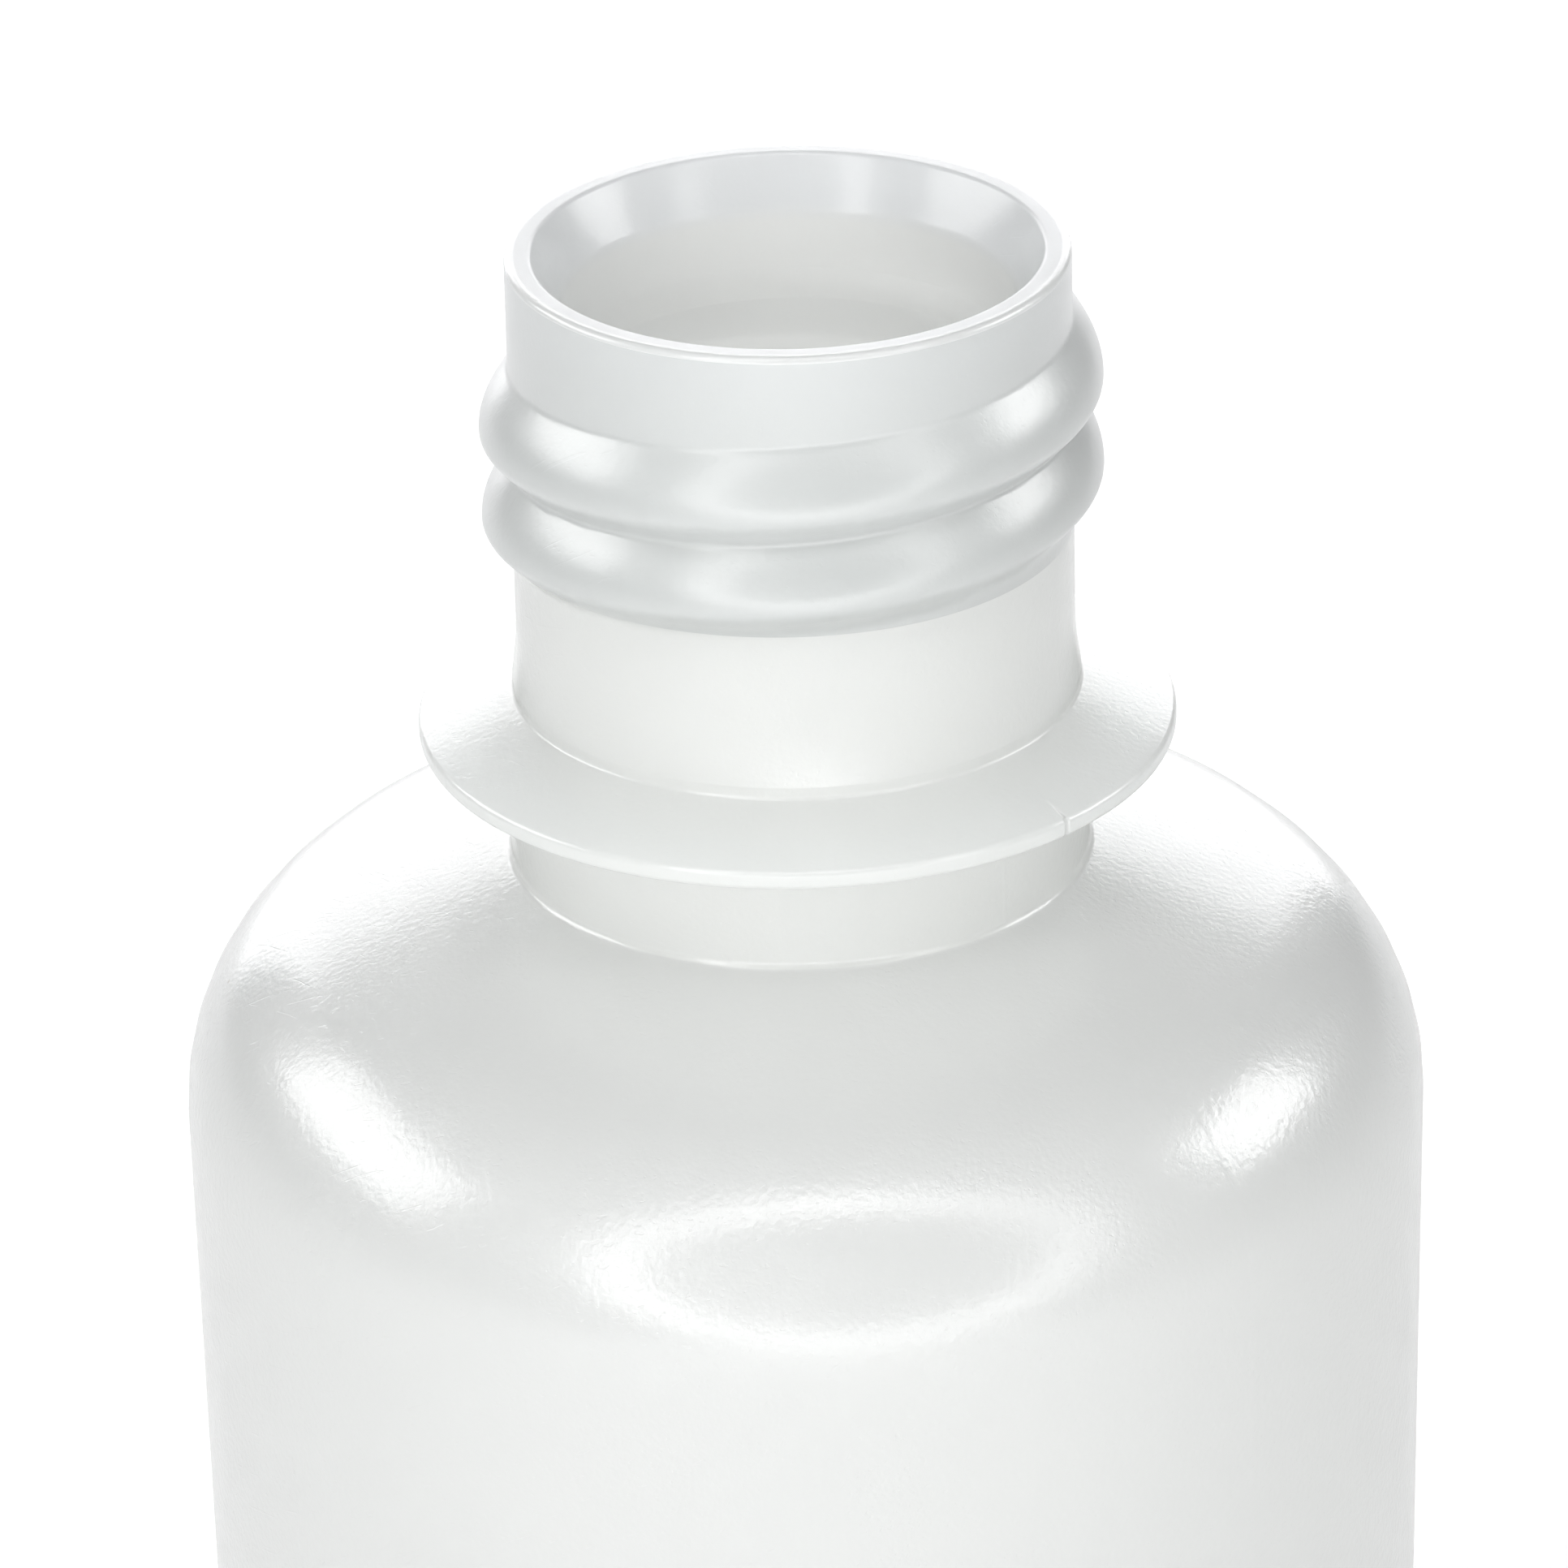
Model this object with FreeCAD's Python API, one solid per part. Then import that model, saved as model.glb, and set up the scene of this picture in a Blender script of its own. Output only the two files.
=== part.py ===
"""Narrow-neck reagent bottle, 200 ml, with its screw closure lying beside it, open side up.

Frame: millimetres, +Z up, origin on the bench at the centre of the bottle's standing ring.
The bottle is a surface of revolution about Z with a right-hand one-start thread on its neck.
"""

import FreeCAD, Part
import math
import os

# Bottle: overall sizes
HEIGHT = 127.0
BODY_R = 28.6
BODY_WALL = 1.3
SHOULDER_ANGLE = 19.0
SHOULDER_CORNER_R = 10.0

# Bottle: base, a standing ring round a shallow push-up
BASE_CORNER_R = 4.0
BASE_WALL = 1.6
RING_INNER_R = 21.0
RING_ROUND = 0.8
PUSH_UP = 2.5
PUSH_UP_R = 18.5
PUSH_UP_ROUND = 3.0
BASE_INNER_STEP = 0.6
BASE_INNER_ROUND = 1.5

# Bottle: neck. Every depth is measured down from the rim's top face.
RIM_R = 12.5
NECK_R = 12.6
MOUTH_R = 11.36
RIM_ROUND = 0.28
FUNNEL_R = 10.1
FUNNEL_DEPTH = 2.35
FUNNEL_ROUND = 1.0
LIP_R = 9.8
LIP_DEPTH = 5.0
LIP_END_DEPTH = 6.5
THROAT_R = 10.6
THROAT_DEPTH = 8.6
LIP_ROUND = 0.3
THROAT_ROUND = 1.2
THROAT_FLARE = 3.0
COLLAR_R = 12.85
COLLAR_DEPTH = 20.2
COLLAR_STEP = 0.25
FLANGE_R = 17.15
FLANGE_DEPTH = 22.2
FLANGE_ROOT_DEPTH = 20.75
FLANGE_THICKNESS = 0.85
FLANGE_EDGE_ROUND = 0.3
LOWER_NECK_R = 13.2
SHOULDER_DEPTH = 28.9
NECK_FILLET = 0.5

# Thread, the same pitch on the bottle and in the cap: six turns to the inch
PITCH = 25.4 / 6.0
THREAD_CREST_R = 13.9
THREAD_HALF_WIDTH = 2.05
THREAD_FIRST_DEPTH = 5.95
THREAD_START_TURN = -0.1
THREAD_END_TURN = 1.55
GROOVE_FLOOR_R = 13.1
GROOVE_HALF_WIDTH = 0.9
ROOT_OVERLAP = 0.4

# Closure: where it lies on the bench
CAP_X = 54.0
CAP_Y = -8.0

# Closure: cap shell, upside down, so its height grows from the top plate to the open edge
CAP_R = 15.6
CAP_INNER_R = 14.3
CAP_HEIGHT = 17.5
CAP_PLATE = 1.5
CAP_EDGE_ROUND = 1.0
RIB_COUNT = 60
RIB_CREST_R = 16.1
RIB_ROOT_R = 15.5
RIB_FROM = 1.3
RIB_TO = 16.9
CAP_THREAD_CREST_R = 13.45
CAP_THREAD_CREST_HALF = 0.3
CAP_THREAD_ROOT_HALF = 1.1
CAP_THREAD_HEIGHT = 6.8
CAP_THREAD_TURNS = 1.4

# Closure: sealing liner and tamper-evident band
LINER_R = 13.3
LINER_THICKNESS = 1.0
BAND_GAP = 0.5
BAND_HEIGHT = 5.4
BAND_R = 15.9
BAND_INNER_R = 14.5
BAND_BEAD_R = 13.35
BAND_BEAD_RISE = 1.1
BRIDGE_COUNT = 8
BRIDGE_WIDTH = 0.8
BRIDGE_ROOT = 0.3
BRIDGE_CLEARANCE = 0.05

UP = FreeCAD.Vector(0, 0, 1)
ORIGIN = FreeCAD.Vector(0, 0, 0)
CAP_PLACE = FreeCAD.Vector(CAP_X, CAP_Y, 0)


def at_depth(depth):
    """The height above the bench of a point that lies this far below the rim."""
    return HEIGHT - depth


def point(radius, height):
    """A point of a profile drawn in the XZ plane."""
    return FreeCAD.Vector(radius, 0, height)


def corner_arc(before, corner, after, radius):
    """The arc of this radius that rounds a corner: its first, middle and last point."""
    to_before = (before - corner).normalize()
    to_after = (after - corner).normalize()
    half = to_before.getAngle(to_after) / 2
    setback = radius / math.tan(half)
    first = corner + to_before * setback
    last = corner + to_after * setback
    bisector = (to_before + to_after).normalize()
    middle = corner + bisector * (radius / math.sin(half) - radius)
    return first, middle, last


def rounded_outline(corners):
    """A closed wire through corners given as (radius, height, rounding)."""
    points = [point(r, z) for r, z, _ in corners]
    count = len(corners)
    starts, ends, arcs = [], [], {}
    for i in range(count):
        rounding = corners[i][2]
        if rounding == 0:
            starts.append(points[i])
            ends.append(points[i])
            continue
        first, middle, last = corner_arc(points[i - 1], points[i], points[(i + 1) % count], rounding)
        starts.append(first)
        ends.append(last)
        arcs[i] = Part.Arc(first, middle, last).toShape()
    edges = []
    for i in range(count):
        if i in arcs:
            edges.append(arcs[i])
        edges.append(Part.LineSegment(ends[i], starts[(i + 1) % count]).toShape())
    return Part.Wire(edges)


def turned(corners):
    """The solid that a closed profile sweeps in one full turn about Z."""
    return Part.Face(rounded_outline(corners)).revolve(ORIGIN, UP, 360)


def outer_profile():
    """The bottle's outside, from the middle of its base up to the rim."""
    slope = math.tan(math.radians(SHOULDER_ANGLE))
    shoulder_drop = (BODY_R - LOWER_NECK_R) * slope
    flange_under = FLANGE_DEPTH + FLANGE_THICKNESS
    return [
        (0, PUSH_UP, 0),
        (PUSH_UP_R, PUSH_UP, PUSH_UP_ROUND),
        (RING_INNER_R, 0, RING_ROUND),
        (BODY_R, 0, BASE_CORNER_R),
        (BODY_R, at_depth(SHOULDER_DEPTH + shoulder_drop), SHOULDER_CORNER_R),
        (LOWER_NECK_R, at_depth(SHOULDER_DEPTH), NECK_FILLET),
        (LOWER_NECK_R, at_depth(flange_under), FLANGE_EDGE_ROUND),
        (FLANGE_R, at_depth(flange_under), FLANGE_EDGE_ROUND),
        (FLANGE_R, at_depth(FLANGE_DEPTH), FLANGE_EDGE_ROUND),
        (COLLAR_R, at_depth(FLANGE_ROOT_DEPTH), 0.2),
        (COLLAR_R, at_depth(COLLAR_DEPTH), 0.15),
        (NECK_R, at_depth(COLLAR_DEPTH - COLLAR_STEP), 0.15),
        (RIM_R, HEIGHT, RIM_ROUND),
    ]


def inner_profile():
    """The bottle's inside, from the mouth down to the middle of its base."""
    angle = math.radians(SHOULDER_ANGLE)
    inner_r = BODY_R - BODY_WALL
    wall_drop = BODY_WALL / math.cos(angle)
    throat_end = SHOULDER_DEPTH + wall_drop - (LOWER_NECK_R - THROAT_R) * math.tan(angle)
    corner_depth = SHOULDER_DEPTH + wall_drop + (inner_r - LOWER_NECK_R) * math.tan(angle)
    return [
        (MOUTH_R, HEIGHT, RIM_ROUND),
        (FUNNEL_R, at_depth(FUNNEL_DEPTH), FUNNEL_ROUND),
        (LIP_R, at_depth(LIP_DEPTH), LIP_ROUND),
        (LIP_R, at_depth(LIP_END_DEPTH), LIP_ROUND),
        (THROAT_R, at_depth(THROAT_DEPTH), THROAT_ROUND),
        (THROAT_R, at_depth(throat_end), THROAT_FLARE),
        (inner_r, at_depth(corner_depth), SHOULDER_CORNER_R - BODY_WALL),
        (inner_r, BASE_WALL, BASE_CORNER_R - BODY_WALL),
        (RING_INNER_R + BASE_INNER_STEP, BASE_WALL, BASE_INNER_ROUND),
        (PUSH_UP_R + BASE_INNER_STEP / 2, PUSH_UP + BASE_WALL, PUSH_UP_ROUND),
        (0, PUSH_UP + BASE_WALL, 0),
    ]


def helix(radius, turns):
    """A right-hand helix that rises from the X axis at height 0."""
    return Part.Wire(Part.makeHelix(PITCH, PITCH * turns, radius))


def ridge_profile():
    """The section of the bottle's thread: a round crest on a foot sunk into the neck wall."""
    foot = NECK_R - ROOT_OVERLAP
    low = point(NECK_R, -THREAD_HALF_WIDTH)
    high = point(NECK_R, THREAD_HALF_WIDTH)
    crest = Part.Arc(low, point(THREAD_CREST_R, 0), high).toShape()
    inside = Part.makePolygon([high, point(foot, THREAD_HALF_WIDTH), point(foot, -THREAD_HALF_WIDTH), low])
    return Part.Wire([crest] + inside.Edges)


def groove_profile():
    """The section of the web that fills the bottom of the groove between two turns."""
    foot = NECK_R - ROOT_OVERLAP
    corners = [(foot, -1), (GROOVE_FLOOR_R, -1), (GROOVE_FLOOR_R, 1), (foot, 1), (foot, -1)]
    return Part.makePolygon([point(r, side * GROOVE_HALF_WIDTH) for r, side in corners])


def swept(profile, radius, turns):
    """A solid of this profile along a helix."""
    return helix(radius, turns).makePipeShell([profile], True, True)


def rounded_end():
    """The thread's run-out: a dome with the thread's own section, on a round foot sunk in the wall."""
    height = THREAD_CREST_R - NECK_R
    dome_r = (THREAD_HALF_WIDTH**2 + height**2) / (2 * height)
    radial = FreeCAD.Vector(1, 0, 0)
    stem = Part.makeCylinder(THREAD_HALF_WIDTH, dome_r, point(NECK_R - ROOT_OVERLAP, 0), radial)
    return Part.makeSphere(dome_r, point(THREAD_CREST_R - dome_r, 0)).common(stem)


def on_helix(shape, turn, depth):
    """Move a shape from the X axis at height 0 to a place on the neck. Turns run clockwise from above."""
    moved = shape.copy()
    moved.rotate(ORIGIN, UP, -360 * turn)
    moved.translate(FreeCAD.Vector(0, 0, at_depth(depth)))
    return moved


def bottle_thread():
    """The one-start thread: about a turn and a half, with rounded ends, and the web in its groove."""
    turns = THREAD_END_TURN - THREAD_START_TURN
    top_depth = THREAD_FIRST_DEPTH + PITCH * THREAD_START_TURN
    bottom_depth = THREAD_FIRST_DEPTH + PITCH * THREAD_END_TURN
    web_turns = turns - 1.0
    web_bottom = THREAD_END_TURN - 1.0
    web_depth = THREAD_FIRST_DEPTH + PITCH * (web_bottom + 0.5)
    end = rounded_end()
    return [
        on_helix(swept(ridge_profile(), NECK_R, turns), THREAD_END_TURN, bottom_depth),
        on_helix(end, THREAD_START_TURN, top_depth),
        on_helix(end, THREAD_END_TURN, bottom_depth),
        on_helix(swept(groove_profile(), NECK_R, web_turns), web_bottom, web_depth),
    ]


def bottle():
    """The one-piece bottle: wall of revolution plus thread."""
    solid = turned(outer_profile() + inner_profile())
    for piece in bottle_thread():
        solid = solid.fuse(piece)
    return solid


def ribbed_sleeve():
    """The grip of the cap: a ring with straight ribs round its outside."""
    step = 2 * math.pi / RIB_COUNT
    corners = []
    for i in range(RIB_COUNT):
        for share, radius in ((0.0, RIB_ROOT_R), (0.3, RIB_ROOT_R), (0.5, RIB_CREST_R), (0.8, RIB_CREST_R)):
            angle = (i + share) * step
            corners.append(FreeCAD.Vector(radius * math.cos(angle), radius * math.sin(angle), RIB_FROM))
    outline = Part.makePolygon(corners + corners[:1])
    sleeve = Part.Face(outline).extrude(FreeCAD.Vector(0, 0, RIB_TO - RIB_FROM))
    return sleeve.cut(Part.makeCylinder(CAP_R - 0.5, CAP_HEIGHT))


def cap_thread():
    """The cap's inner thread: a low ridge on the wall, wider at its root."""
    root = CAP_INNER_R + ROOT_OVERLAP
    corners = [
        point(root, -CAP_THREAD_ROOT_HALF),
        point(CAP_INNER_R, -CAP_THREAD_ROOT_HALF),
        point(CAP_THREAD_CREST_R, -CAP_THREAD_CREST_HALF),
        point(CAP_THREAD_CREST_R, CAP_THREAD_CREST_HALF),
        point(CAP_INNER_R, CAP_THREAD_ROOT_HALF),
        point(root, CAP_THREAD_ROOT_HALF),
    ]
    section = Part.makePolygon(corners + corners[:1])
    ridge = swept(section, CAP_INNER_R, CAP_THREAD_TURNS)
    ridge.translate(FreeCAD.Vector(0, 0, CAP_THREAD_HEIGHT))
    return ridge


def cap():
    """The screw cap's shell, upside down."""
    shell = turned(
        [
            (0, 0, 0),
            (CAP_R, 0, CAP_EDGE_ROUND),
            (CAP_R, CAP_HEIGHT, 0.3),
            (CAP_INNER_R, CAP_HEIGHT, 0.3),
            (CAP_INNER_R, CAP_PLATE, 0.4),
            (0, CAP_PLATE, 0),
        ]
    )
    return shell.fuse([ribbed_sleeve(), cap_thread()]).removeSplitter()


def liner():
    """The foam disc that the rim presses into, lying on the inside of the cap's top plate."""
    return Part.makeCylinder(LINER_R, LINER_THICKNESS, point(0, CAP_PLATE))


def tamper_band():
    """The band below the cap's skirt, with its inner bead and the bridges that join it to the cap."""
    foot = CAP_HEIGHT + BAND_GAP
    top = foot + BAND_HEIGHT
    bead = foot + BAND_HEIGHT / 2
    ring = turned(
        [
            (BAND_INNER_R, foot, 0.2),
            (BAND_R, foot, 0.2),
            (BAND_R, top, 0.4),
            (BAND_INNER_R, top, 0.4),
            (BAND_INNER_R, bead + BAND_BEAD_RISE, 0),
            (BAND_BEAD_R, bead, 0.3),
            (BAND_INNER_R, bead - BAND_BEAD_RISE, 0),
        ]
    )
    return ring.fuse(bridges()).removeSplitter()


def bridges():
    """The small posts that join the band to the cap's edge until it is first opened."""
    middle_r = (CAP_R + CAP_INNER_R) / 2
    corner = FreeCAD.Vector(middle_r - BRIDGE_WIDTH / 2, -BRIDGE_WIDTH / 2, CAP_HEIGHT + BRIDGE_CLEARANCE)
    rise = BAND_GAP - BRIDGE_CLEARANCE + BRIDGE_ROOT
    posts = []
    for i in range(BRIDGE_COUNT):
        post = Part.makeBox(BRIDGE_WIDTH, BRIDGE_WIDTH, rise, corner)
        post.rotate(ORIGIN, UP, 360.0 * i / BRIDGE_COUNT)
        posts.append(post)
    return posts


def lying_beside(shape):
    """Set a piece of the closure down at its place on the bench."""
    moved = shape.copy()
    moved.translate(CAP_PLACE)
    return moved


def main():
    os.makedirs("parts", exist_ok=True)
    nodes = {
        "bottle": bottle(),
        "cap": lying_beside(cap()),
        "liner": lying_beside(liner()),
        "tamper_band": lying_beside(tamper_band()),
    }
    for name, shape in nodes.items():
        shape.exportStep("parts/" + name + ".step")
        print(name, shape.isValid(), len(shape.Solids), round(shape.Volume, 1), shape.BoundBox)


main()
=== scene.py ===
"""The look of a milky polyethylene reagent bottle and its loose screw closure.

Lengths in this script are millimetres, in the CAD's own frame. They become metres where Blender gets them.
Every turned shape is one outline of (radius, height) points, swept round an axis, with an optional change of
radius at each point for threads, ribs and the mould's parting line.
"""

import math

import bpy
from mathutils import Matrix, Vector


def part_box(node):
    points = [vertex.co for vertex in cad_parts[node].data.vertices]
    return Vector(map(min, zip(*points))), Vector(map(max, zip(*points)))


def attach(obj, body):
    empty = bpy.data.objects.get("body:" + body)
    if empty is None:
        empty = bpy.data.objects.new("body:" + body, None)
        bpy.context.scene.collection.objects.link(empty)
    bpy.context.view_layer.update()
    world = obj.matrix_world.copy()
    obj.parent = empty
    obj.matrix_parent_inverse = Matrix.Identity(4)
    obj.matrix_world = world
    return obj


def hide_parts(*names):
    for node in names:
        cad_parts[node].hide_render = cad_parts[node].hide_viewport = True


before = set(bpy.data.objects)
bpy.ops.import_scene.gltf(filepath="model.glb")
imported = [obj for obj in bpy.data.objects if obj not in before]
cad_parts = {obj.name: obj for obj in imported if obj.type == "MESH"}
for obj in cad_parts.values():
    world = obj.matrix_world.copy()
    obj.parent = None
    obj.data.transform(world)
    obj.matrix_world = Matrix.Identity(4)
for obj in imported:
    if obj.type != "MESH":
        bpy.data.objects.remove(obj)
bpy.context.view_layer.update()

MM = 0.001

# Bottle: taken from the frame
BOTTLE_LOW, BOTTLE_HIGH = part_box("bottle")
HEIGHT = BOTTLE_HIGH[2] / MM
BODY_R = BOTTLE_HIGH[0] / MM

# Bottle: wall and base
BODY_WALL = 1.3
SHOULDER_ANGLE = math.radians(19)
SHOULDER_CORNER_R = 10.0
BASE_CORNER_R = 4.0
BASE_WALL = 1.6
RING_INNER_R = 21.0
RING_ROUND = 0.8
PUSH_UP = 2.5
PUSH_UP_R = 18.5
PUSH_UP_ROUND = 3.0
INNER_RING_WIDER = 0.6
INNER_RING_ROUND = 1.5
INNER_PUSH_UP_WIDER = 0.3

# Bottle: neck. Depths are measured down from the rim.
RIM_R = 12.5
NECK_R = 12.6
MOUTH_R = 11.36
RIM_ROUND = 0.28
FUNNEL_R = 10.1
FUNNEL_DEPTH = 2.35
FUNNEL_ROUND = 1.0
LIP_R = 9.8
LIP_DEPTH = 5.0
LIP_END_DEPTH = 6.5
LIP_ROUND = 0.3
THROAT_R = 10.6
THROAT_DEPTH = 8.6
THROAT_ROUND = 1.2
COLLAR_R = 12.85
COLLAR_DEPTH = 20.2
COLLAR_ROUND = 0.3
COLLAR_FLARE = 1.5
COLLAR_FLARE_R = 17.0
FLANGE_R = 17.15
FLANGE_DEPTH = 22.2
FLANGE_ROOT_DEPTH = 20.75
FLANGE_ROOT_ROUND = 0.2
FLANGE_THICKNESS = 0.85
FLANGE_ROUND = 0.3
LOWER_NECK_R = 13.2
SHOULDER_DEPTH = 28.9
SHOULDER_FOOT_ROUND = 0.45
INNER_SHOULDER_ROUND = 3.0

# Bottle: thread, right-handed, falling clockwise as seen from above
PITCH = 25.4 / 6
THREAD_HEIGHT = 1.35
THREAD_ABOVE = 2.9
THREAD_BELOW = 1.9
THREAD_FIRST_DEPTH = 6.05
THREAD_FIRST_TURN = -0.1
THREAD_LAST_TURN = 1.55
THREAD_FOOT = 2.2
THREAD_RUN_OUT = 0.16
THREAD_BLEND = 8.0
FINISH_DEPTH = 13.0

# Bottle: the mould's parting line, on two opposite sides, and the nick it leaves in the flange's edge
SEAM_ANGLE = math.radians(-47)
SEAM_HALF_WIDTH = math.radians(0.45)
SEAM_HEIGHT = 0.015
NICK_DEPTH = 0.25

# Bottle: how far from their nominal radii the points of a surface are still counted as part of it
NECK_TAPER = 0.12
NECK_SLACK = 0.02
FLANGE_EDGE = 0.2
WALL_SLACK = 0.05
MOUTH_EDGE = 0.5

# Bottle: the zones, in their order on the object. Each zone gets its own copy of the one polyethylene, and
# the copies' colours differ only as painted light and shade.
BODY_ZONE, THREAD_ZONE, INSIDE_ZONE, NECK_ZONE = range(4)

# Closure, upside down on the bench
CAP_LOW, CAP_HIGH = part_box("cap")
CAP_X = (CAP_LOW[0] + CAP_HIGH[0]) / 2 / MM
CAP_Y = (CAP_LOW[1] + CAP_HIGH[1]) / 2 / MM
CAP_HEIGHT = CAP_HIGH[2] / MM
CAP_R = 15.6
CAP_INNER_R = 14.3
CAP_PLATE = 1.5
CAP_DISH = 0.35
CAP_DISH_R = 12.0
CAP_DISH_EDGE_R = 13.2
RIB_COUNT = 60
RIB_HEIGHT = (CAP_HIGH[0] - CAP_LOW[0]) / 2 / MM - CAP_R
RIB_START = 1.2
RIB_FULL = 2.2
RIB_FADE = 1.4
RIB_END = 0.6
RIB_SHARPNESS = 0.8
CAP_THREAD_DEPTH = 0.85
CAP_THREAD_HALF_WIDTH = 1.1
CAP_THREAD_HEIGHT = 6.8
CAP_THREAD_TURNS = 1.4
CAP_THREAD_RUN_OUT = 0.06
CAP_THREAD_CREST = 0.2
LINER_R = 13.3
LINER_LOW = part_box("liner")[0][2] / MM
LINER_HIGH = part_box("liner")[1][2] / MM
BAND_GAP = 0.5
BAND_FOOT = CAP_HEIGHT + BAND_GAP
BAND_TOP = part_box("tamper_band")[1][2] / MM
BAND_R = 15.9
BAND_INNER_R = 14.5
BAND_BEAD_R = 13.35
BAND_BEAD_HALF_WIDTH = 1.1
BRIDGE_COUNT = 8
BRIDGE_SIDES = 12
BRIDGE_HALF_DEPTH = 0.4
BRIDGE_HALF_WIDTH = 0.45
BRIDGE_CLEARANCE = 0.05
BRIDGE_OVERLAP = 0.2
BRIDGE_NECKING = [(0.0, 0.7), (0.2, 0.55), (0.5, 0.75), (0.8, 1.0), (1.0, 1.35)]

# Mesh fineness
COARSE_STEP = 1.4
FINE_STEP = 0.16
CAP_STEP = 0.3
BAND_STEP = 0.6
ARC_STEP = math.radians(9)
BOTTLE_COLUMNS = 256
CAP_COLUMNS = RIB_COUNT * 10
LINER_COLUMNS = 128
BAND_COLUMNS = 192

# Lamps: an oval ring of small panels round the lens. Directions are (azimuth, elevation) in degrees.
RING_PANELS = 24
RING_MIDDLE = (7, 29)
RING_REACH = (44, 34)
RING_DISTANCE = 520
RING_PANEL_SIZE = (105, 100)
RING_RADIANCE = 2.6
RING_LOW_EXTRA = 1.0
RING_SIDE_FALL = 0.2

# Bench
FLOOR_R = 3000
FLOOR_SIDES = 64

# Camera: a long lens, looking down at the neck
SENSOR = 36.0
LENS = 169.9
CAMERA_ELEVATION = math.radians(26.4)
CAMERA_ROLL = math.radians(-1.3)
CAMERA_DISTANCE = 337.0
CAMERA_TARGET = Vector((-0.69, 0, HEIGHT - 26.35))


# ---------------------------------------------------------------- outlines

def arc_points(before, corner, after, radius):
    """Points along the arc that rounds a corner of an outline."""
    to_before = (before - corner).normalized()
    to_after = (after - corner).normalized()
    half = to_before.angle(to_after) / 2
    centre = corner + (to_before + to_after).normalized() * (radius / math.sin(half))
    first = corner + to_before * (radius / math.tan(half)) - centre
    last = corner + to_after * (radius / math.tan(half)) - centre
    sweep = math.pi - 2 * half
    count = max(3, math.ceil(sweep / ARC_STEP))
    points = []
    for i in range(count + 1):
        share = i / count
        arm = first * math.sin((1 - share) * sweep) + last * math.sin(share * sweep)
        points.append(centre + arm / math.sin(sweep))
    return points


def line_points(start, end, step):
    """Points between two ends, apart by at most this step."""
    count = max(1, math.ceil((end - start).length / step))
    return [start.lerp(end, i / count) for i in range(1, count)]


def rounded(corners, step_at, closed=False):
    """An outline through corners given as (radius, height, rounding), with its straight stretches divided."""
    places = [Vector((r, z)) for r, z, _ in corners]
    runs = []
    for i, (_, _, rounding) in enumerate(corners):
        if rounding:
            after = places[(i + 1) % len(places)]
            runs.append(arc_points(places[i - 1], places[i], after, rounding))
        else:
            runs.append([places[i]])
    outline = []
    for i, run in enumerate(runs):
        outline.extend(run)
        if i + 1 < len(runs) or closed:
            following = runs[(i + 1) % len(runs)][0]
            outline.extend(line_points(run[-1], following, step_at((run[-1] + following) / 2)))
    return outline


def even_angles(count):
    return [2 * math.pi * i / count for i in range(count)]


# ---------------------------------------------------------------- meshes

def mesh_object(name, points, faces, smooth=True):
    """An object from points in millimetres."""
    mesh = bpy.data.meshes.new(name)
    mesh.from_pydata([Vector(p) * MM for p in points], [], faces)
    mesh.validate()
    mesh.update()
    mesh.polygons.foreach_set("use_smooth", [smooth] * len(mesh.polygons))
    piece = bpy.data.objects.new(name, mesh)
    bpy.context.scene.collection.objects.link(piece)
    return piece


def lathe(name, outline, angles, change=None, centre=(0, 0), closed=False):
    """Sweep an outline round a vertical axis. change(radius, height, angle) is added to each radius.

    An open outline starts and ends on the axis. A closed one is a ring's section.
    """
    points, faces, rows = [], [], []
    for spot in outline:
        if spot.x < 1e-6:
            rows.append([len(points)])
            points.append((centre[0], centre[1], spot.y))
            continue
        rows.append(range(len(points), len(points) + len(angles)))
        for angle in angles:
            radius = spot.x + (change(spot.x, spot.y, angle) if change else 0)
            x = centre[0] + radius * math.cos(angle)
            y = centre[1] + radius * math.sin(angle)
            points.append((x, y, spot.y))
    pairs = list(zip(rows, rows[1:]))
    if closed:
        pairs.append((rows[-1], rows[0]))
    for low, high in pairs:
        for i in range(len(angles)):
            j = (i + 1) % len(angles)
            if len(low) == 1:
                faces.append((low[0], high[j], high[i]))
            elif len(high) == 1:
                faces.append((low[i], low[j], high[0]))
            else:
                faces.append((low[i], low[j], high[j], high[i]))
    return mesh_object(name, points, faces)


def smooth_step(value, start, end):
    """0 before start, 1 after end, and smooth between them."""
    share = min(1.0, max(0.0, (value - start) / (end - start)))
    return share * share * (3 - 2 * share)


# ---------------------------------------------------------------- bottle

def at_depth(depth):
    return HEIGHT - depth


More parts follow.
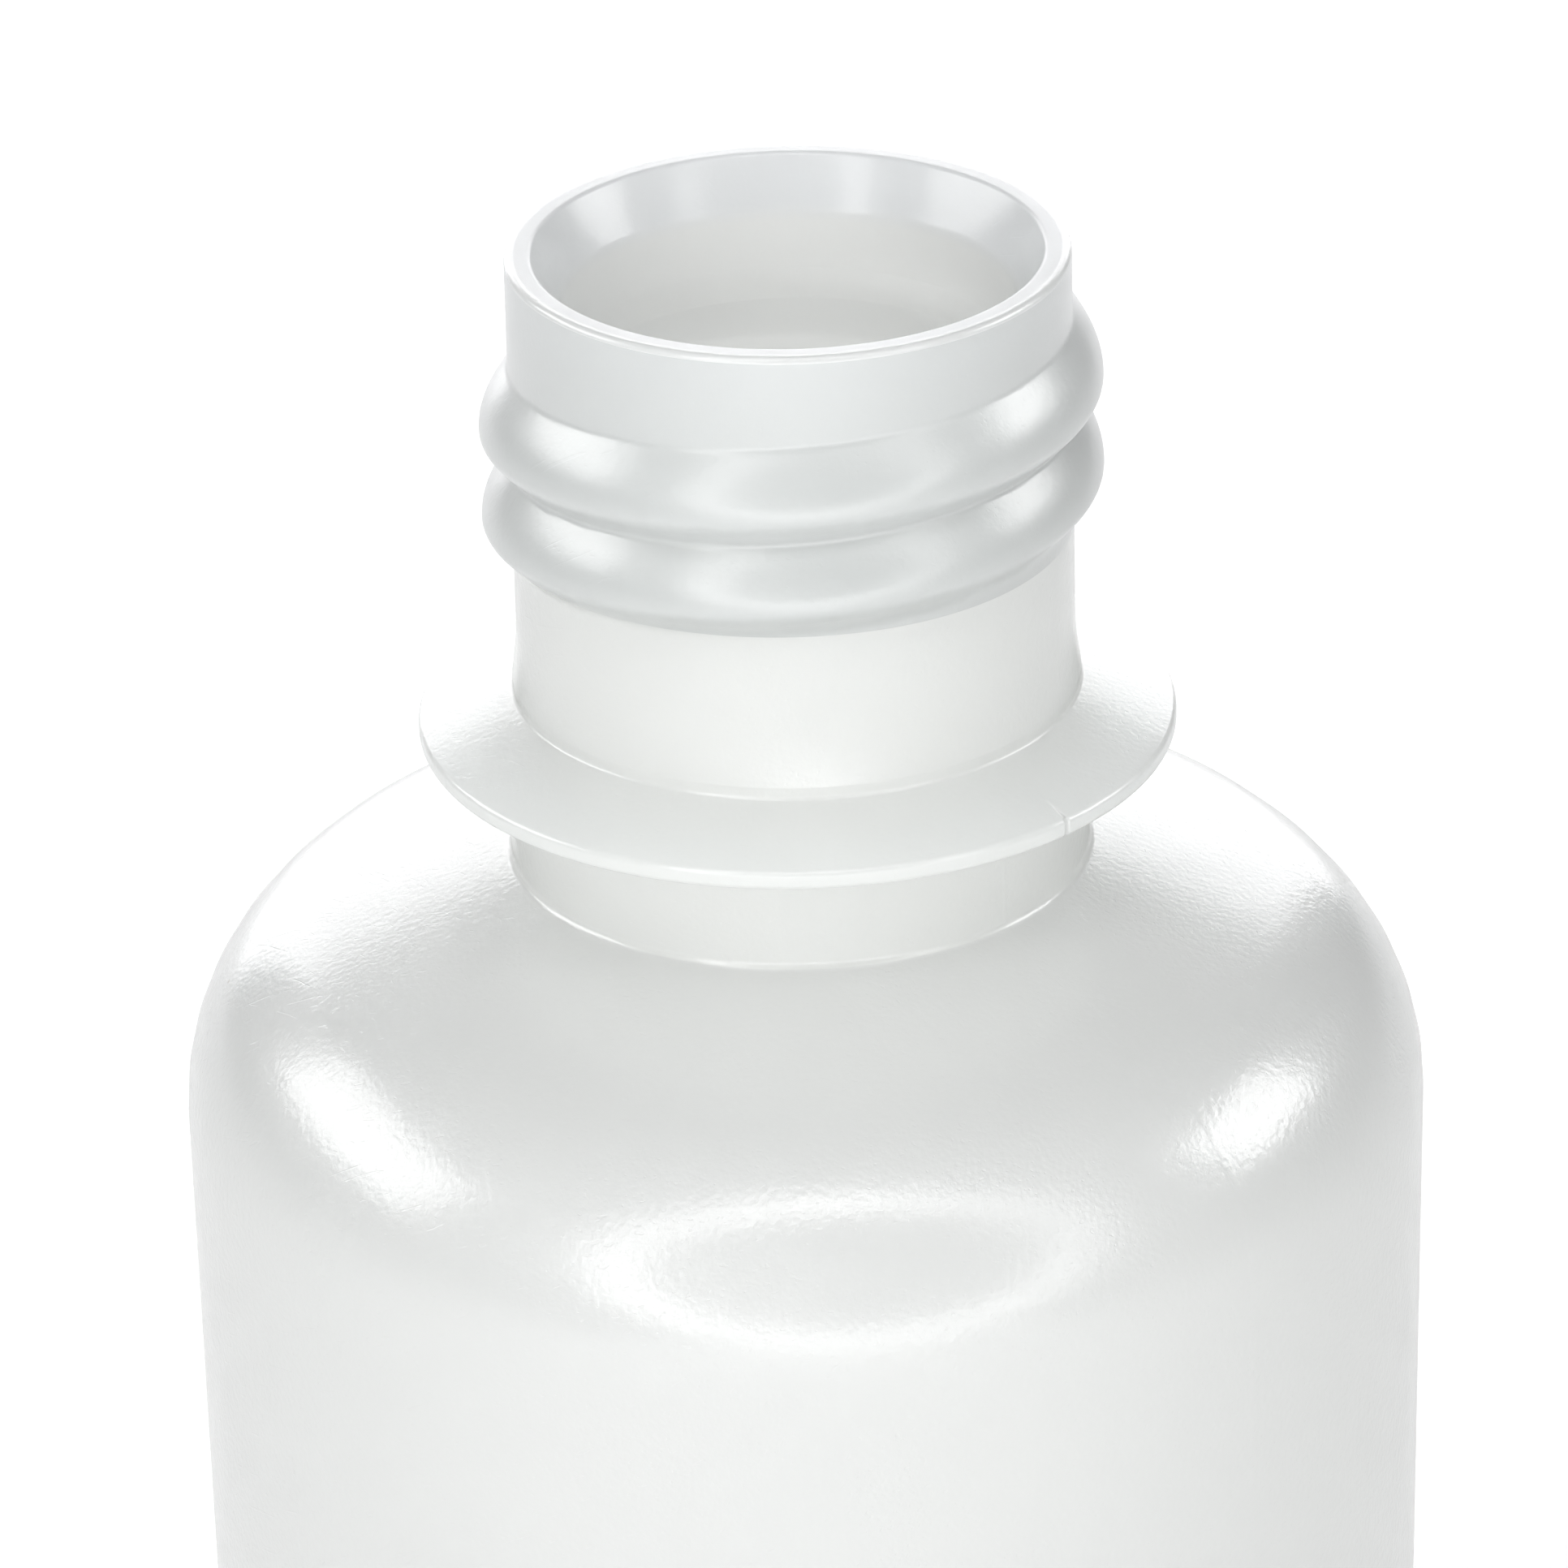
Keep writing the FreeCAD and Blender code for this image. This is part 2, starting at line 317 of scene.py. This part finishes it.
def bottle_outline():
    """The bottle's whole section: up the outside, over the rim and down the inside."""
    slope = math.tan(SHOULDER_ANGLE)
    under = FLANGE_DEPTH + FLANGE_THICKNESS
    inner_r = BODY_R - BODY_WALL
    inner_depth = SHOULDER_DEPTH + BODY_WALL / math.cos(SHOULDER_ANGLE)
    outside = [
        (0, PUSH_UP, 0),
        (PUSH_UP_R, PUSH_UP, PUSH_UP_ROUND),
        (RING_INNER_R, 0, RING_ROUND),
        (BODY_R, 0, BASE_CORNER_R),
        (BODY_R, at_depth(SHOULDER_DEPTH + (BODY_R - LOWER_NECK_R) * slope), SHOULDER_CORNER_R),
        (LOWER_NECK_R, at_depth(SHOULDER_DEPTH), SHOULDER_FOOT_ROUND),
        (LOWER_NECK_R, at_depth(under), FLANGE_ROUND),
        (FLANGE_R, at_depth(under), FLANGE_ROUND),
        (FLANGE_R, at_depth(FLANGE_DEPTH), FLANGE_ROUND),
        (COLLAR_R, at_depth(FLANGE_ROOT_DEPTH), FLANGE_ROOT_ROUND),
        (COLLAR_R, at_depth(COLLAR_DEPTH), COLLAR_ROUND),
        (NECK_R, at_depth(COLLAR_DEPTH - COLLAR_FLARE), COLLAR_FLARE_R),
        (RIM_R, HEIGHT, RIM_ROUND),
    ]
    inside = [
        (MOUTH_R, HEIGHT, RIM_ROUND),
        (FUNNEL_R, at_depth(FUNNEL_DEPTH), FUNNEL_ROUND),
        (LIP_R, at_depth(LIP_DEPTH), LIP_ROUND),
        (LIP_R, at_depth(LIP_END_DEPTH), LIP_ROUND),
        (THROAT_R, at_depth(THROAT_DEPTH), THROAT_ROUND),
        (THROAT_R, at_depth(inner_depth - (LOWER_NECK_R - THROAT_R) * slope), INNER_SHOULDER_ROUND),
        (inner_r, at_depth(inner_depth + (inner_r - LOWER_NECK_R) * slope), SHOULDER_CORNER_R - BODY_WALL),
        (inner_r, BASE_WALL, BASE_CORNER_R - BODY_WALL),
        (RING_INNER_R + INNER_RING_WIDER, BASE_WALL, INNER_RING_ROUND),
        (PUSH_UP_R + INNER_PUSH_UP_WIDER, PUSH_UP + BASE_WALL, PUSH_UP_ROUND),
        (0, PUSH_UP + BASE_WALL, 0),
    ]

    def step_at(place):
        threaded = place.x > MOUTH_R + MOUTH_EDGE and place.y > at_depth(FLANGE_ROOT_DEPTH)
        return FINE_STEP if threaded else COARSE_STEP

    return rounded(outside + inside, step_at)


def thread_relief(angle, depth):
    """How far the bottle's thread stands out of the neck at a place on it."""
    total = 0.0
    for lap in range(-1, 4):
        turn = lap - angle / (2 * math.pi)
        begun = smooth_step(turn, THREAD_FIRST_TURN - THREAD_RUN_OUT, THREAD_FIRST_TURN)
        ended = smooth_step(turn, THREAD_LAST_TURN, THREAD_LAST_TURN + THREAD_RUN_OUT)
        off = depth - THREAD_FIRST_DEPTH - PITCH * turn
        reach = min(1.0, off / THREAD_BELOW if off > 0 else -off / THREAD_ABOVE)
        rise = math.cos(math.pi / 2 * reach) ** (THREAD_FOOT if off > 0 else 1.0)
        total += (rise * begun * (1 - ended)) ** THREAD_BLEND
    return THREAD_HEIGHT * total ** (1 / THREAD_BLEND)


def at_seam(angle):
    """1 on the parting line of the mould's two halves, and 0 beside it."""
    off = abs((angle - SEAM_ANGLE + math.pi / 2) % math.pi - math.pi / 2)
    return max(0.0, 1 - off / SEAM_HALF_WIDTH)


def bottle_relief(radius, height, angle):
    """Thread, the flange's nick, and the parting line, which follows through to the wall's inner face."""
    depth = HEIGHT - height
    on_neck = NECK_R - NECK_TAPER < radius < NECK_R + NECK_SLACK
    if on_neck and depth < COLLAR_DEPTH - 2 * COLLAR_FLARE:
        return thread_relief(angle, depth)
    if radius > FLANGE_R - FLANGE_EDGE and depth < FLANGE_DEPTH + FLANGE_THICKNESS:
        return -NICK_DEPTH * at_seam(angle)
    if radius > LOWER_NECK_R - WALL_SLACK and height > BASE_CORNER_R:
        return SEAM_HEIGHT * at_seam(angle)
    return 0.0


def bottle_angles():
    """Even columns, and close ones at the parting line."""
    angles = even_angles(BOTTLE_COLUMNS)
    for side in (0, math.pi):
        for share in (-1, 0, 1):
            angles.append((SEAM_ANGLE + side + share * SEAM_HALF_WIDTH) % (2 * math.pi))
    return sorted(angles)


def outside_zone(depth):
    """The zone of the outside at this depth."""
    if depth > SHOULDER_DEPTH:
        return BODY_ZONE
    if RIM_ROUND < depth < FINISH_DEPTH:
        return THREAD_ZONE
    return NECK_ZONE


def bottle_zones(outline):
    """The zone of each band of faces. The outline's highest point parts the outside from the inside."""
    rim = max(range(len(outline)), key=lambda i: outline[i].y)
    zones = []
    for i, (low, high) in enumerate(zip(outline, outline[1:])):
        depth = HEIGHT - (low.y + high.y) / 2
        zones.append(outside_zone(depth) if i <= rim else INSIDE_ZONE)
    return zones


def build_bottle():
    outline, angles = bottle_outline(), bottle_angles()
    piece = lathe("bottle_shell", outline, angles, bottle_relief)
    zones = bottle_zones(outline)
    indices = [zone for zone in zones for _ in angles]
    piece.data.polygons.foreach_set("material_index", indices)
    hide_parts("bottle")
    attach(piece, "bottle")
    return piece


# ---------------------------------------------------------------- closure

def cap_relief(radius, height, angle):
    """Ribs round the outside, and the thread on the inside."""
    if radius > CAP_R - 0.01:
        begun = smooth_step(height, RIB_START, RIB_FULL)
        ended = smooth_step(height, CAP_HEIGHT - RIB_FADE, CAP_HEIGHT - RIB_END)
        wave = 0.5 + 0.5 * math.cos(RIB_COUNT * angle)
        return RIB_HEIGHT * (begun * (1 - ended)) * wave ** RIB_SHARPNESS
    if abs(radius - CAP_INNER_R) < 0.01:
        return -cap_thread_relief(angle, height)
    return 0.0


def cap_thread_relief(angle, height):
    """How far the cap's inner thread stands out of its wall."""
    relief = 0.0
    for lap in range(-1, 3):
        turn = lap + angle / (2 * math.pi)
        begun = smooth_step(turn, 0, CAP_THREAD_RUN_OUT)
        ended = smooth_step(turn, CAP_THREAD_TURNS - CAP_THREAD_RUN_OUT, CAP_THREAD_TURNS)
        off = abs(height - CAP_THREAD_HEIGHT - PITCH * turn) / CAP_THREAD_HALF_WIDTH
        rise = 1 - smooth_step(off, CAP_THREAD_CREST, 1.0)
        relief = max(relief, CAP_THREAD_DEPTH * (begun * (1 - ended)) * rise)
    return relief


def build_cap():
    corners = [
        (0, CAP_DISH, 0),
        (CAP_DISH_R, CAP_DISH, 0.8),
        (CAP_DISH_EDGE_R, 0, 0.6),
        (CAP_R, 0, 1.0),
        (CAP_R, CAP_HEIGHT, 0.3),
        (CAP_INNER_R, CAP_HEIGHT, 0.3),
        (CAP_INNER_R, CAP_PLATE, 0.4),
        (0, CAP_PLATE, 0),
    ]

    def step_at(place):
        return CAP_STEP if place.x > CAP_INNER_R - 0.5 else COARSE_STEP

    outline = rounded(corners, step_at)
    piece = lathe("cap_shell", outline, even_angles(CAP_COLUMNS), cap_relief, (CAP_X, CAP_Y))
    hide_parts("cap")
    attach(piece, "cap")
    return piece


def build_liner():
    corners = [
        (0, LINER_LOW, 0),
        (LINER_R, LINER_LOW, 0.15),
        (LINER_R, LINER_HIGH, 0.25),
        (0, LINER_HIGH, 0),
    ]
    outline = rounded(corners, lambda place: COARSE_STEP)
    piece = lathe("liner_disc", outline, even_angles(LINER_COLUMNS), None, (CAP_X, CAP_Y))
    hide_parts("liner")
    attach(piece, "liner")
    return piece


def build_band():
    bead = (BAND_FOOT + BAND_TOP) / 2
    corners = [
        (BAND_INNER_R, BAND_FOOT, 0.2),
        (BAND_R, BAND_FOOT, 0.2),
        (BAND_R, BAND_TOP, 0.4),
        (BAND_INNER_R, BAND_TOP, 0.4),
        (BAND_INNER_R, bead + BAND_BEAD_HALF_WIDTH, 0.3),
        (BAND_BEAD_R, bead, 0.3),
        (BAND_INNER_R, bead - BAND_BEAD_HALF_WIDTH, 0.3),
    ]
    outline = rounded(corners, lambda place: BAND_STEP, closed=True)
    piece = lathe("tamper_ring", outline, even_angles(BAND_COLUMNS), None, (CAP_X, CAP_Y), closed=True)
    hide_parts("tamper_band")
    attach(piece, "band")
    return [piece] + [build_bridge(i) for i in range(BRIDGE_COUNT)]


def build_bridge(index):
    """One of the small necked tabs that join the band to the cap until it is first opened."""
    angle = 2 * math.pi * index / BRIDGE_COUNT
    middle = (CAP_R + CAP_INNER_R) / 2
    low = CAP_HEIGHT + BRIDGE_CLEARANCE
    high = BAND_FOOT + BRIDGE_OVERLAP
    points, faces = [], []
    for share, width in BRIDGE_NECKING:
        for turn in even_angles(BRIDGE_SIDES):
            out = middle + BRIDGE_HALF_DEPTH * width * math.cos(turn)
            along = BRIDGE_HALF_WIDTH * width * math.sin(turn)
            x = CAP_X + out * math.cos(angle) - along * math.sin(angle)
            y = CAP_Y + out * math.sin(angle) + along * math.cos(angle)
            points.append((x, y, low + (high - low) * share))
    last = len(points) - BRIDGE_SIDES
    for a in range(0, last, BRIDGE_SIDES):
        b = a + BRIDGE_SIDES
        for i in range(BRIDGE_SIDES):
            j = (i + 1) % BRIDGE_SIDES
            faces.append((a + i, a + j, b + j, b + i))
    faces.append(tuple(reversed(range(BRIDGE_SIDES))))
    faces.append(tuple(range(last, len(points))))
    piece = mesh_object(f"bridge_{index + 1}", points, faces)
    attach(piece, "band")
    return piece


# ---------------------------------------------------------------- materials

class Nodes:
    """Short ways to add the nodes of one material."""

    def __init__(self, name):
        self.material = bpy.data.materials.new(name)
        self.material.use_nodes = True
        self.tree = self.material.node_tree
        self.shader = self.tree.nodes["Principled BSDF"]
        self.output = self.tree.nodes["Material Output"]

    def link(self, source, target):
        self.tree.links.new(source, target)

    def feed(self, socket, value):
        """Link a socket to another node's output, or set it to a plain value."""
        if isinstance(value, bpy.types.NodeSocket):
            self.link(value, socket)
        else:
            socket.default_value = value

    def math(self, operation, first, second=0.0):
        node = self.tree.nodes.new("ShaderNodeMath")
        node.operation = operation
        self.feed(node.inputs[0], first)
        self.feed(node.inputs[1], second)
        return node.outputs[0]

    def place(self, turn=None, stretch=1.0):
        """The place on the object, in metres, as seen from turned axes of which the third is stretched."""
        coordinates = self.tree.nodes.new("ShaderNodeTexCoord")
        if turn is None:
            return coordinates.outputs["Object"]
        mapping = self.tree.nodes.new("ShaderNodeMapping")
        mapping.vector_type = "TEXTURE"
        mapping.inputs["Rotation"].default_value = turn
        mapping.inputs["Scale"].default_value = (1, 1, stretch)
        self.link(coordinates.outputs["Object"], mapping.inputs["Vector"])
        return mapping.outputs[0]

    def height(self):
        """The height above the bench, in millimetres."""
        split = self.tree.nodes.new("ShaderNodeSeparateXYZ")
        self.link(self.place(), split.inputs[0])
        return self.math("DIVIDE", split.outputs["Z"], MM)

    def noise(self, where, size, detail=2.0, roughness=0.5):
        """Cloudy noise from 0 to 1, with patches of about this size in millimetres."""
        node = self.tree.nodes.new("ShaderNodeTexNoise")
        self.link(where, node.inputs["Vector"])
        node.inputs["Scale"].default_value = 1 / (size * MM)
        node.inputs["Detail"].default_value = detail
        node.inputs["Roughness"].default_value = roughness
        return node.outputs["Fac"]

    def cells(self, where, size):
        """The distance to the nearest of scattered points, in parts of their spacing of size millimetres."""
        node = self.tree.nodes.new("ShaderNodeTexVoronoi")
        self.link(where, node.inputs["Vector"])
        node.inputs["Scale"].default_value = 1 / (size * MM)
        return node.outputs["Distance"]

    def ramp(self, value, start, end, low=0.0, high=1.0):
        """low until value reaches start, high from end on, smooth between."""
        node = self.tree.nodes.new("ShaderNodeMapRange")
        node.interpolation_type = "SMOOTHSTEP"
        self.feed(node.inputs["Value"], value)
        node.inputs["From Min"].default_value = start
        node.inputs["From Max"].default_value = end
        node.inputs["To Min"].default_value = low
        node.inputs["To Max"].default_value = high
        return node.outputs["Result"]

    def blend(self, share, first, second):
        """A number or colour between two others."""
        node = self.tree.nodes.new("ShaderNodeMix")
        colours = isinstance(first, tuple) or isinstance(second, tuple)
        node.data_type = "RGBA" if colours else "FLOAT"
        sockets = [x for x in node.inputs if x.enabled]
        self.feed(sockets[0], share)
        self.feed(sockets[1], first)
        self.feed(sockets[2], second)
        return [x for x in node.outputs if x.enabled][0]

    def mix_shaders(self, share, first, second):
        node = self.tree.nodes.new("ShaderNodeMixShader")
        node.inputs["Fac"].default_value = share
        self.link(first, node.inputs[1])
        self.link(second, node.inputs[2])
        return node.outputs[0]

    def bump(self, height, depth, under=None):
        """A normal that is pushed out by height times depth millimetres."""
        node = self.tree.nodes.new("ShaderNodeBump")
        node.inputs["Strength"].default_value = 1.0
        node.inputs["Distance"].default_value = depth * MM
        self.link(height, node.inputs["Height"])
        if under is not None:
            self.link(under, node.inputs["Normal"])
        return node.outputs[0]


def scratches(nodes, turn, size, share):
    """Fine scratches along one direction: 1 on a scratch and 0 elsewhere."""
    line = nodes.noise(nodes.place(turn, 30.0), size, detail=0.0)
    return nodes.ramp(line, 1 - share, 1 - 0.8 * share)


def polyethylene(name, colour, milky, straight, sheen, rough, peel_depth,
                 skin_share=1.0, painted_funnel_shade=None):
    """Milky translucent polyethylene under a satin skin.

    milky is the share of light that soaks through, straight the share of the rest that goes nearly straight
    through, sheen the roughness of the outermost skin, rough the lowest roughness below it and peel_depth the
    depth of the skin's fine waves in millimetres. The funnel colour, if given, takes over in the mouth's
    funnel as a painted shade.
    """
    nodes = Nodes(name)
    shader = nodes.shader
    mottle = nodes.noise(nodes.place(), 3.0, detail=3.0, roughness=0.6)
    nodes.link(nodes.ramp(mottle, 0.3, 0.7, rough, rough + 0.07), shader.inputs["Roughness"])

    speck = nodes.ramp(nodes.cells(nodes.place(), 9.0), 0.014, 0.009)
    deeper = tuple(0.995 * part for part in colour)
    milk = nodes.blend(mottle, (*deeper, 1), (*colour, 1))
    # Painted shade by height: in the mouth's funnel the colour turns to the funnel colour given.
    if painted_funnel_shade:
        up = nodes.ramp(nodes.height(), at_depth(FUNNEL_DEPTH + 0.6), at_depth(FUNNEL_DEPTH - 0.4))
        milk = nodes.blend(up, milk, (*painted_funnel_shade, 1))
    nodes.link(nodes.blend(speck, milk, (0.35, 0.30, 0.24, 1)), shader.inputs["Base Color"])
    shader.inputs["IOR"].default_value = 1.5
    shader.inputs["Specular IOR Level"].default_value = 0.8
    shader.inputs["Transmission Weight"].default_value = straight
    shader.inputs["Coat Weight"].default_value = skin_share
    shader.inputs["Coat Roughness"].default_value = sheen
    shader.inputs["Coat IOR"].default_value = 1.6

    peel = nodes.bump(nodes.noise(nodes.place(), 0.32, detail=2.0), peel_depth)
    marks = nodes.math("MAXIMUM", scratches(nodes, (0.6, 0.9, 0.2), 0.2, 0.24),
                       scratches(nodes, (1.2, -0.4, 0.7), 0.16, 0.22))
    skin = nodes.bump(marks, -0.3 * peel_depth, under=peel)
    nodes.link(skin, shader.inputs["Normal"])
    nodes.link(skin, shader.inputs["Coat Normal"])

    through = nodes.tree.nodes.new("ShaderNodeBsdfTranslucent")
    through.inputs["Color"].default_value = (0.92, 0.93, 0.925, 1)
    both = nodes.mix_shaders(milky, shader.outputs[0], through.outputs[0])
    nodes.link(both, nodes.output.inputs["Surface"])
    return nodes.material


def bottle_materials():
    """One polyethylene in four copies, in the order of the bottle's zones, whose base colours differ as
    painted light and shade.
    """
    # Painted shade: the body's copy is painted darker than the neck's, to hold the lower body's tone down.
    body = polyethylene("polyethylene_body_painted_shade", (0.775, 0.785, 0.785), milky=0.4, straight=0.5,
                        sheen=0.14, rough=0.29, peel_depth=0.024)
    neck = polyethylene("polyethylene_neck", (0.865, 0.88, 0.865), milky=0.4, straight=0.5,
                        sheen=0.15, rough=0.29, peel_depth=0.018)
    # Painted shade: the thread zone's copy is painted far darker than the neck's. Its smaller shares of light
    # going through stand for its thicker wall.
    thread = polyethylene("polyethylene_thread_painted_shade", (0.49, 0.51, 0.505), milky=0.3, straight=0.15,
                          sheen=0.28, rough=0.31, peel_depth=0.012)
    # Painted light and shade: the inside's copy is painted brighter and warmer than the outside, and turns
    # darker and bluer in the mouth's funnel.
    inside = polyethylene("polyethylene_inside_painted_light", (0.94, 0.93, 0.895), milky=0.45, straight=0.55,
                          sheen=0.14, rough=0.29, peel_depth=0.01,
                          skin_share=0.5, painted_funnel_shade=(0.86, 0.87, 0.885))
    return body, thread, inside, neck


def cap_plastic():
    """White moulded polypropylene with a fine spark-eroded matt skin."""
    nodes = Nodes("cap_moulding")
    shader = nodes.shader
    cloud = nodes.noise(nodes.place(), 4.0, detail=3.0)
    nodes.link(nodes.ramp(cloud, 0.3, 0.7, 0.36, 0.46), shader.inputs["Roughness"])
    colour = nodes.blend(cloud, (0.70, 0.70, 0.685, 1), (0.74, 0.74, 0.73, 1))
    nodes.link(colour, shader.inputs["Base Color"])
    shader.inputs["Subsurface Weight"].default_value = 0.3
    shader.inputs["Subsurface Radius"].default_value = (1.0, 0.95, 0.9)
    shader.inputs["Subsurface Scale"].default_value = MM
    grain = nodes.bump(nodes.noise(nodes.place(), 0.12, detail=2.0), 0.012)
    marks = scratches(nodes, (0.4, 1.1, 0.3), 0.2, 0.27)
    nodes.link(nodes.bump(marks, -0.01, under=grain), shader.inputs["Normal"])
    return nodes.material


def liner_foam():
    """Closed-cell foam under a thin smooth film."""
    nodes = Nodes("liner_foam_skin")
    shader = nodes.shader
    cell = nodes.cells(nodes.place(), 0.45)
    colour = nodes.blend(cell, (0.88, 0.88, 0.85, 1), (0.80, 0.80, 0.77, 1))
    nodes.link(colour, shader.inputs["Base Color"])
    cloud = nodes.noise(nodes.place(), 2.0)
    nodes.link(nodes.ramp(cloud, 0.3, 0.7, 0.48, 0.62), shader.inputs["Roughness"])
    nodes.link(nodes.bump(cell, -0.03), shader.inputs["Normal"])
    return nodes.material


def floor_white():
    """A white bench top that gives off a little light, so that it stays white between shadows."""
    nodes = Nodes("floor_white")
    shader = nodes.shader
    cloud = nodes.noise(nodes.place(), 30.0, detail=3.0)
    colour = nodes.blend(cloud, (0.895, 0.895, 0.895, 1), (0.905, 0.905, 0.905, 1))
    nodes.link(colour, shader.inputs["Base Color"])
    nodes.link(nodes.ramp(cloud, 0.3, 0.7, 0.65, 0.75), shader.inputs["Roughness"])
    shader.inputs["Emission Color"].default_value = (1, 1, 1, 1)
    shader.inputs["Emission Strength"].default_value = 0.24
    return nodes.material


# ---------------------------------------------------------------- stage

def toward(azimuth, elevation):
    """The direction this far to the right of the front, in degrees, and this far up."""
    a, e = math.radians(azimuth), math.radians(elevation)
    return Vector((math.sin(a) * math.cos(e), -math.cos(a) * math.cos(e), math.sin(e)))


def softbox(name, azimuth, elevation, distance, size, radiance, colour=(1, 1, 1), soaks=True, shines=True):
    """A rectangular lamp, in millimetres, that faces the neck and has this brightness.

    One that doesn't soak adds nothing to diffuse light, and one that doesn't shine makes no highlight.
    """
    lamp = bpy.data.lights.new(name, "AREA")
    lamp.shape = "RECTANGLE"
    lamp.size = size[0] * MM
    lamp.size_y = size[1] * MM
    lamp.color = colour
    lamp.energy = radiance * math.pi * lamp.size * lamp.size_y
    item = bpy.data.objects.new(name, lamp)
    direction = toward(azimuth, elevation)
    item.location = (CAMERA_TARGET + direction * distance) * MM
    item.rotation_euler = direction.to_track_quat("Z", "Y").to_euler()
    item.visible_camera = False
    item.visible_diffuse = soaks
    item.visible_glossy = shines
    bpy.context.scene.collection.objects.link(item)
    return item


def build_lights():
    softbox("left_softbox", azimuth=-99, elevation=27, distance=600, size=(490, 250), radiance=5.0,
            soaks=False)
    softbox("right_softbox", azimuth=99, elevation=26, distance=600, size=(280, 220), radiance=6.4,
            soaks=False)
    softbox("back_panel", azimuth=184, elevation=12, distance=900, size=(1040, 570), radiance=3.3,
            colour=(0.99, 0.985, 1.0))
    softbox("front_fill", azimuth=-22, elevation=21, distance=700, size=(600, 400), radiance=2.55,
            shines=False)
    softbox("top_fill", azimuth=-10, elevation=78, distance=700, size=(500, 500), radiance=1.2,
            shines=False)
    for i, turn in enumerate(even_angles(RING_PANELS)):
        low = 0.5 - 0.5 * math.cos(turn)
        azimuth = RING_MIDDLE[0] + RING_REACH[0] * math.sin(turn)
        elevation = RING_MIDDLE[1] + RING_REACH[1] * math.cos(turn)
        radiance = (RING_RADIANCE + RING_LOW_EXTRA * low) * (1 - RING_SIDE_FALL * math.sin(turn))
        softbox(f"ring_{i + 1}", azimuth, elevation, RING_DISTANCE, RING_PANEL_SIZE, radiance)


def build_world():
    world = bpy.data.worlds.new("studio")
    world.use_nodes = True
    background = world.node_tree.nodes["Background"]
    background.inputs["Color"].default_value = (0.97, 0.96, 1.0, 1)
    background.inputs["Strength"].default_value = 0.27
    bpy.context.scene.world = world


def build_floor():
    """A large round white bench, with its top where the bottle and the closure stand."""
    points = [(FLOOR_R * math.cos(a), FLOOR_R * math.sin(a), 0) for a in even_angles(FLOOR_SIDES)]
    floor = mesh_object("floor", points, [tuple(range(FLOOR_SIDES))], smooth=False)
    floor.data.materials.append(floor_white())


def build_camera():
    forward = -toward(0, math.degrees(CAMERA_ELEVATION))
    right = Vector((1, 0, 0))
    up = right.cross(forward)
    turned_right = right * math.cos(CAMERA_ROLL) + up * math.sin(CAMERA_ROLL)
    turned_up = up * math.cos(CAMERA_ROLL) - right * math.sin(CAMERA_ROLL)
    lens = bpy.data.cameras.new("camera")
    lens.sensor_width = SENSOR
    lens.lens = LENS
    lens.clip_start = 0.01
    lens.clip_end = 20
    camera = bpy.data.objects.new("camera", lens)
    axes = Matrix((turned_right, turned_up, -forward)).transposed()
    camera.matrix_world = Matrix.Translation((CAMERA_TARGET - forward * CAMERA_DISTANCE) * MM) @ axes.to_4x4()
    bpy.context.scene.collection.objects.link(camera)
    bpy.context.scene.camera = camera


def set_up_film():
    scene = bpy.context.scene
    scene.view_settings.view_transform = "Standard"
    scene.cycles.max_bounces = 16
    scene.cycles.diffuse_bounces = 8
    scene.cycles.transmission_bounces = 12


def main():
    build_camera()
    bottle = build_bottle()
    cap = build_cap()
    liner = build_liner()
    band = build_band()
    for material in bottle_materials():
        bottle.data.materials.append(material)
    plastic = cap_plastic()
    for piece in [cap] + band:
        piece.data.materials.append(plastic)
    liner.data.materials.append(liner_foam())
    build_floor()
    build_world()
    build_lights()
    set_up_film()


main()
